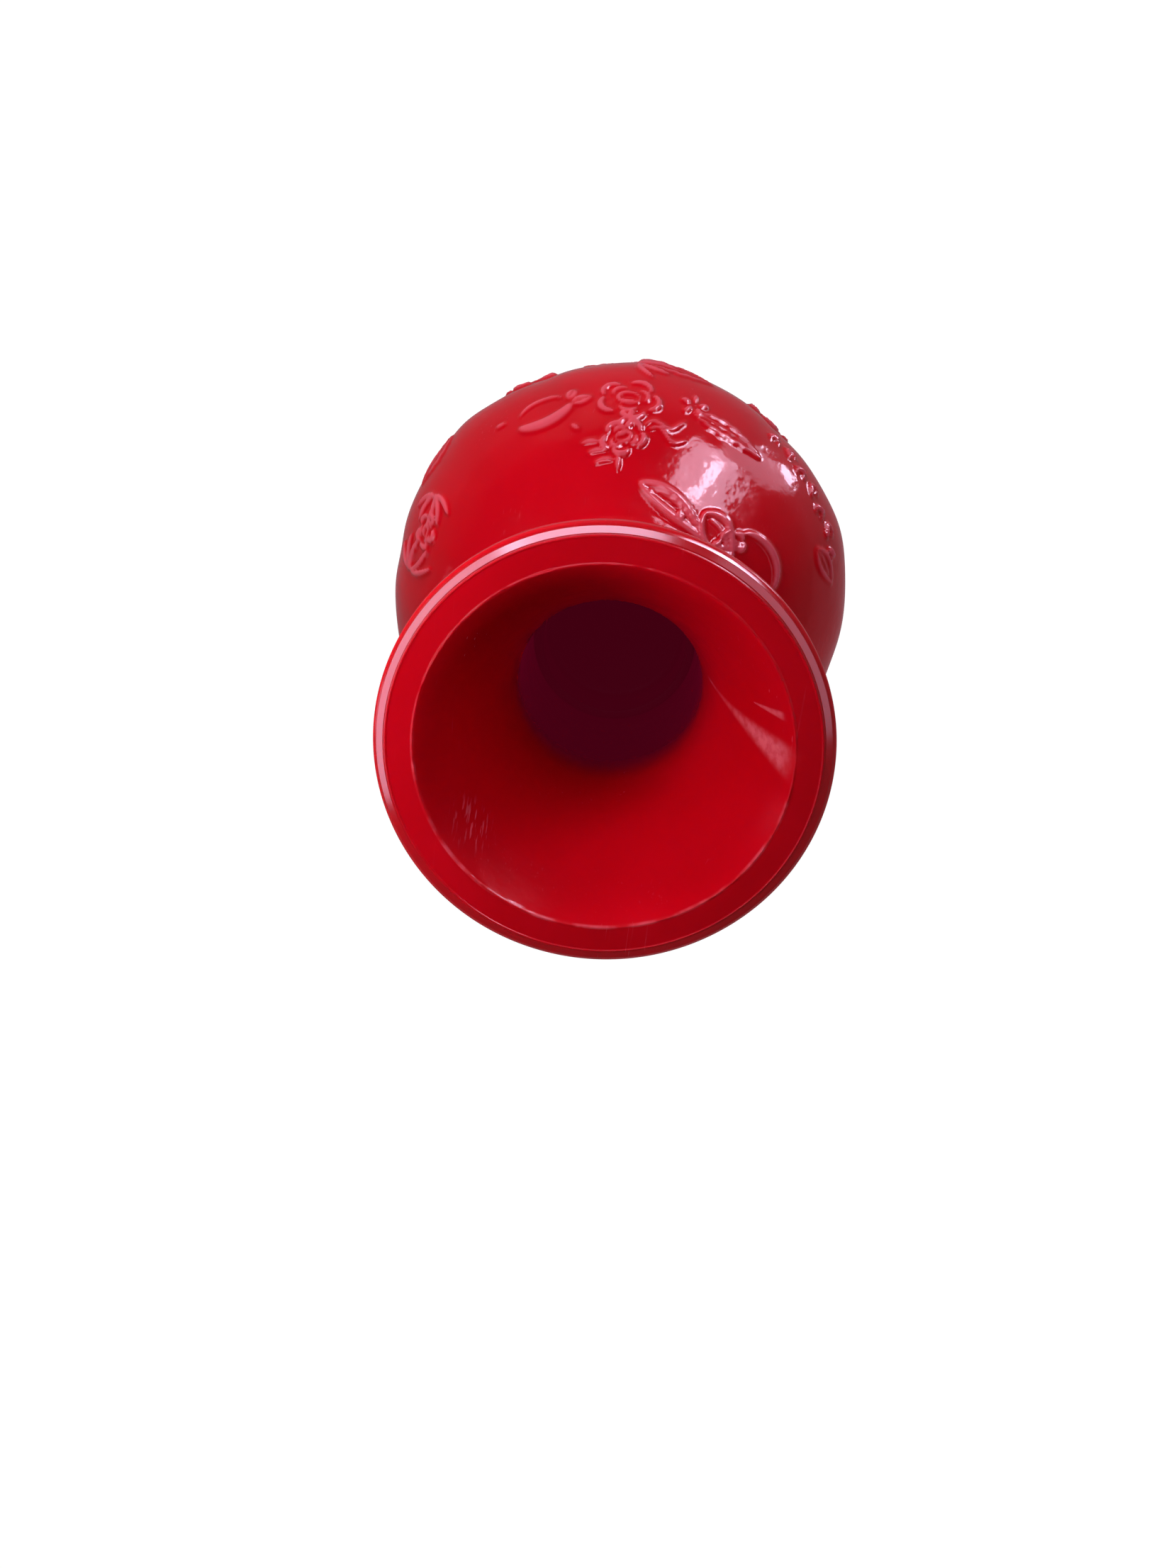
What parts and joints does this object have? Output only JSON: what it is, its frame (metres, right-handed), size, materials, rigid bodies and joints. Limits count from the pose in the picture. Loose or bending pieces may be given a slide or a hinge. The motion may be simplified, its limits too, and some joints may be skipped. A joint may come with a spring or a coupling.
{
  "type": "egg shaker",
  "caption": "Hand shaker with an egg-shaped pellet chamber, a waisted neck and a flared open bell mouth, floral relief on the egg",
  "frame": {"origin": "centre of the flat foot, the lowest point of the egg", "axes": "+Z along the turning axis from the foot to the open mouth"},
  "size_m": [0.0756, 0.0756, 0.124],
  "materials": {
    "bell_plastic": "glossy translucent-looking red moulded plastic with light handling scratches",
    "shell_plastic": "glossy red moulded plastic with raised floral lines",
    "plug_rubber": "matt dark maroon rubber",
    "pellet_steel": "plain tumbled steel shot"
  },
  "bodies": {
    "casing": {"bell_mouth": "bell_plastic", "upper_egg_shell": "shell_plastic", "lower_egg_shell": "shell_plastic", "throat_plug": "plug_rubber"},
    "pellet_01_ball": {"pellet_01": "pellet_steel"},
    "pellet_02_ball": {"pellet_02": "pellet_steel"},
    "pellet_03_ball": {"pellet_03": "pellet_steel"},
    "pellet_04_ball": {"pellet_04": "pellet_steel"},
    "pellet_05_ball": {"pellet_05": "pellet_steel"},
    "pellet_06_ball": {"pellet_06": "pellet_steel"},
    "pellet_07_ball": {"pellet_07": "pellet_steel"},
    "pellet_08_ball": {"pellet_08": "pellet_steel"},
    "pellet_09_ball": {"pellet_09": "pellet_steel"},
    "pellet_10_ball": {"pellet_10": "pellet_steel"},
    "pellet_11_ball": {"pellet_11": "pellet_steel"},
    "pellet_12_ball": {"pellet_12": "pellet_steel"},
    "pellet_13_ball": {"pellet_13": "pellet_steel"},
    "pellet_14_ball": {"pellet_14": "pellet_steel"},
    "pellet_15_ball": {"pellet_15": "pellet_steel"},
    "pellet_16_ball": {"pellet_16": "pellet_steel"},
    "pellet_17_ball": {"pellet_17": "pellet_steel"},
    "pellet_18_ball": {"pellet_18": "pellet_steel"},
    "pellet_19_ball": {"pellet_19": "pellet_steel"},
    "pellet_20_ball": {"pellet_20": "pellet_steel"},
    "pellet_21_ball": {"pellet_21": "pellet_steel"},
    "pellet_22_ball": {"pellet_22": "pellet_steel"},
    "pellet_23_ball": {"pellet_23": "pellet_steel"},
    "pellet_24_ball": {"pellet_24": "pellet_steel"},
    "pellet_25_ball": {"pellet_25": "pellet_steel"},
    "pellet_26_ball": {"pellet_26": "pellet_steel"},
    "pellet_27_ball": {"pellet_27": "pellet_steel"},
    "pellet_28_ball": {"pellet_28": "pellet_steel"}
  },
  "joints": [
    {"name": "pellet_01_rattle", "type": "slide", "parent": "casing", "child": "pellet_01_ball", "axis": [0, 0, 1], "range_m": [0, 0.0564]},
    {"name": "pellet_02_rattle", "type": "slide", "parent": "casing", "child": "pellet_02_ball", "axis": [0, 0, 1], "range_m": [0, 0.0564]},
    {"name": "pellet_03_rattle", "type": "slide", "parent": "casing", "child": "pellet_03_ball", "axis": [0, 0, 1], "range_m": [0, 0.0564]},
    {"name": "pellet_04_rattle", "type": "slide", "parent": "casing", "child": "pellet_04_ball", "axis": [0, 0, 1], "range_m": [0, 0.0564]},
    {"name": "pellet_05_rattle", "type": "slide", "parent": "casing", "child": "pellet_05_ball", "axis": [0, 0, 1], "range_m": [0, 0.0564]},
    {"name": "pellet_06_rattle", "type": "slide", "parent": "casing", "child": "pellet_06_ball", "axis": [0, 0, 1], "range_m": [0, 0.0564]},
    {"name": "pellet_07_rattle", "type": "slide", "parent": "casing", "child": "pellet_07_ball", "axis": [0, 0, 1], "range_m": [0, 0.0564]},
    {"name": "pellet_08_rattle", "type": "slide", "parent": "casing", "child": "pellet_08_ball", "axis": [0, 0, 1], "range_m": [0, 0.0564]},
    {"name": "pellet_09_rattle", "type": "slide", "parent": "casing", "child": "pellet_09_ball", "axis": [0, 0, 1], "range_m": [0, 0.0564]},
    {"name": "pellet_10_rattle", "type": "slide", "parent": "casing", "child": "pellet_10_ball", "axis": [0, 0, 1], "range_m": [0, 0.0564]},
    {"name": "pellet_11_rattle", "type": "slide", "parent": "casing", "child": "pellet_11_ball", "axis": [0, 0, 1], "range_m": [0, 0.0564]},
    {"name": "pellet_12_rattle", "type": "slide", "parent": "casing", "child": "pellet_12_ball", "axis": [0, 0, 1], "range_m": [0, 0.0564]},
    {"name": "pellet_13_rattle", "type": "slide", "parent": "casing", "child": "pellet_13_ball", "axis": [0, 0, 1], "range_m": [0, 0.0564]},
    {"name": "pellet_14_rattle", "type": "slide", "parent": "casing", "child": "pellet_14_ball", "axis": [0, 0, 1], "range_m": [0, 0.0564]},
    {"name": "pellet_15_rattle", "type": "slide", "parent": "casing", "child": "pellet_15_ball", "axis": [0, 0, 1], "range_m": [0, 0.0564]},
    {"name": "pellet_16_rattle", "type": "slide", "parent": "casing", "child": "pellet_16_ball", "axis": [0, 0, 1], "range_m": [0, 0.0564]},
    {"name": "pellet_17_rattle", "type": "slide", "parent": "casing", "child": "pellet_17_ball", "axis": [0, 0, 1], "range_m": [0, 0.0564]},
    {"name": "pellet_18_rattle", "type": "slide", "parent": "casing", "child": "pellet_18_ball", "axis": [0, 0, 1], "range_m": [0, 0.0564]},
    {"name": "pellet_19_rattle", "type": "slide", "parent": "casing", "child": "pellet_19_ball", "axis": [0, 0, 1], "range_m": [0, 0.0564]},
    {"name": "pellet_20_rattle", "type": "slide", "parent": "casing", "child": "pellet_20_ball", "axis": [0, 0, 1], "range_m": [0, 0.0564]},
    {"name": "pellet_21_rattle", "type": "slide", "parent": "casing", "child": "pellet_21_ball", "axis": [0, 0, 1], "range_m": [0, 0.0564]},
    {"name": "pellet_22_rattle", "type": "slide", "parent": "casing", "child": "pellet_22_ball", "axis": [0, 0, 1], "range_m": [0, 0.0564]},
    {"name": "pellet_23_rattle", "type": "slide", "parent": "casing", "child": "pellet_23_ball", "axis": [0, 0, 1], "range_m": [0, 0.0562]},
    {"name": "pellet_24_rattle", "type": "slide", "parent": "casing", "child": "pellet_24_ball", "axis": [0, 0, 1], "range_m": [0, 0.056]},
    {"name": "pellet_25_rattle", "type": "slide", "parent": "casing", "child": "pellet_25_ball", "axis": [0, 0, 1], "range_m": [0, 0.0558]},
    {"name": "pellet_26_rattle", "type": "slide", "parent": "casing", "child": "pellet_26_ball", "axis": [0, 0, 1], "range_m": [0, 0.0557]},
    {"name": "pellet_27_rattle", "type": "slide", "parent": "casing", "child": "pellet_27_ball", "axis": [0, 0, 1], "range_m": [0, 0.0555]},
    {"name": "pellet_28_rattle", "type": "slide", "parent": "casing", "child": "pellet_28_ball", "axis": [0, 0, 1], "range_m": [0, 0.0553]}
  ]
}
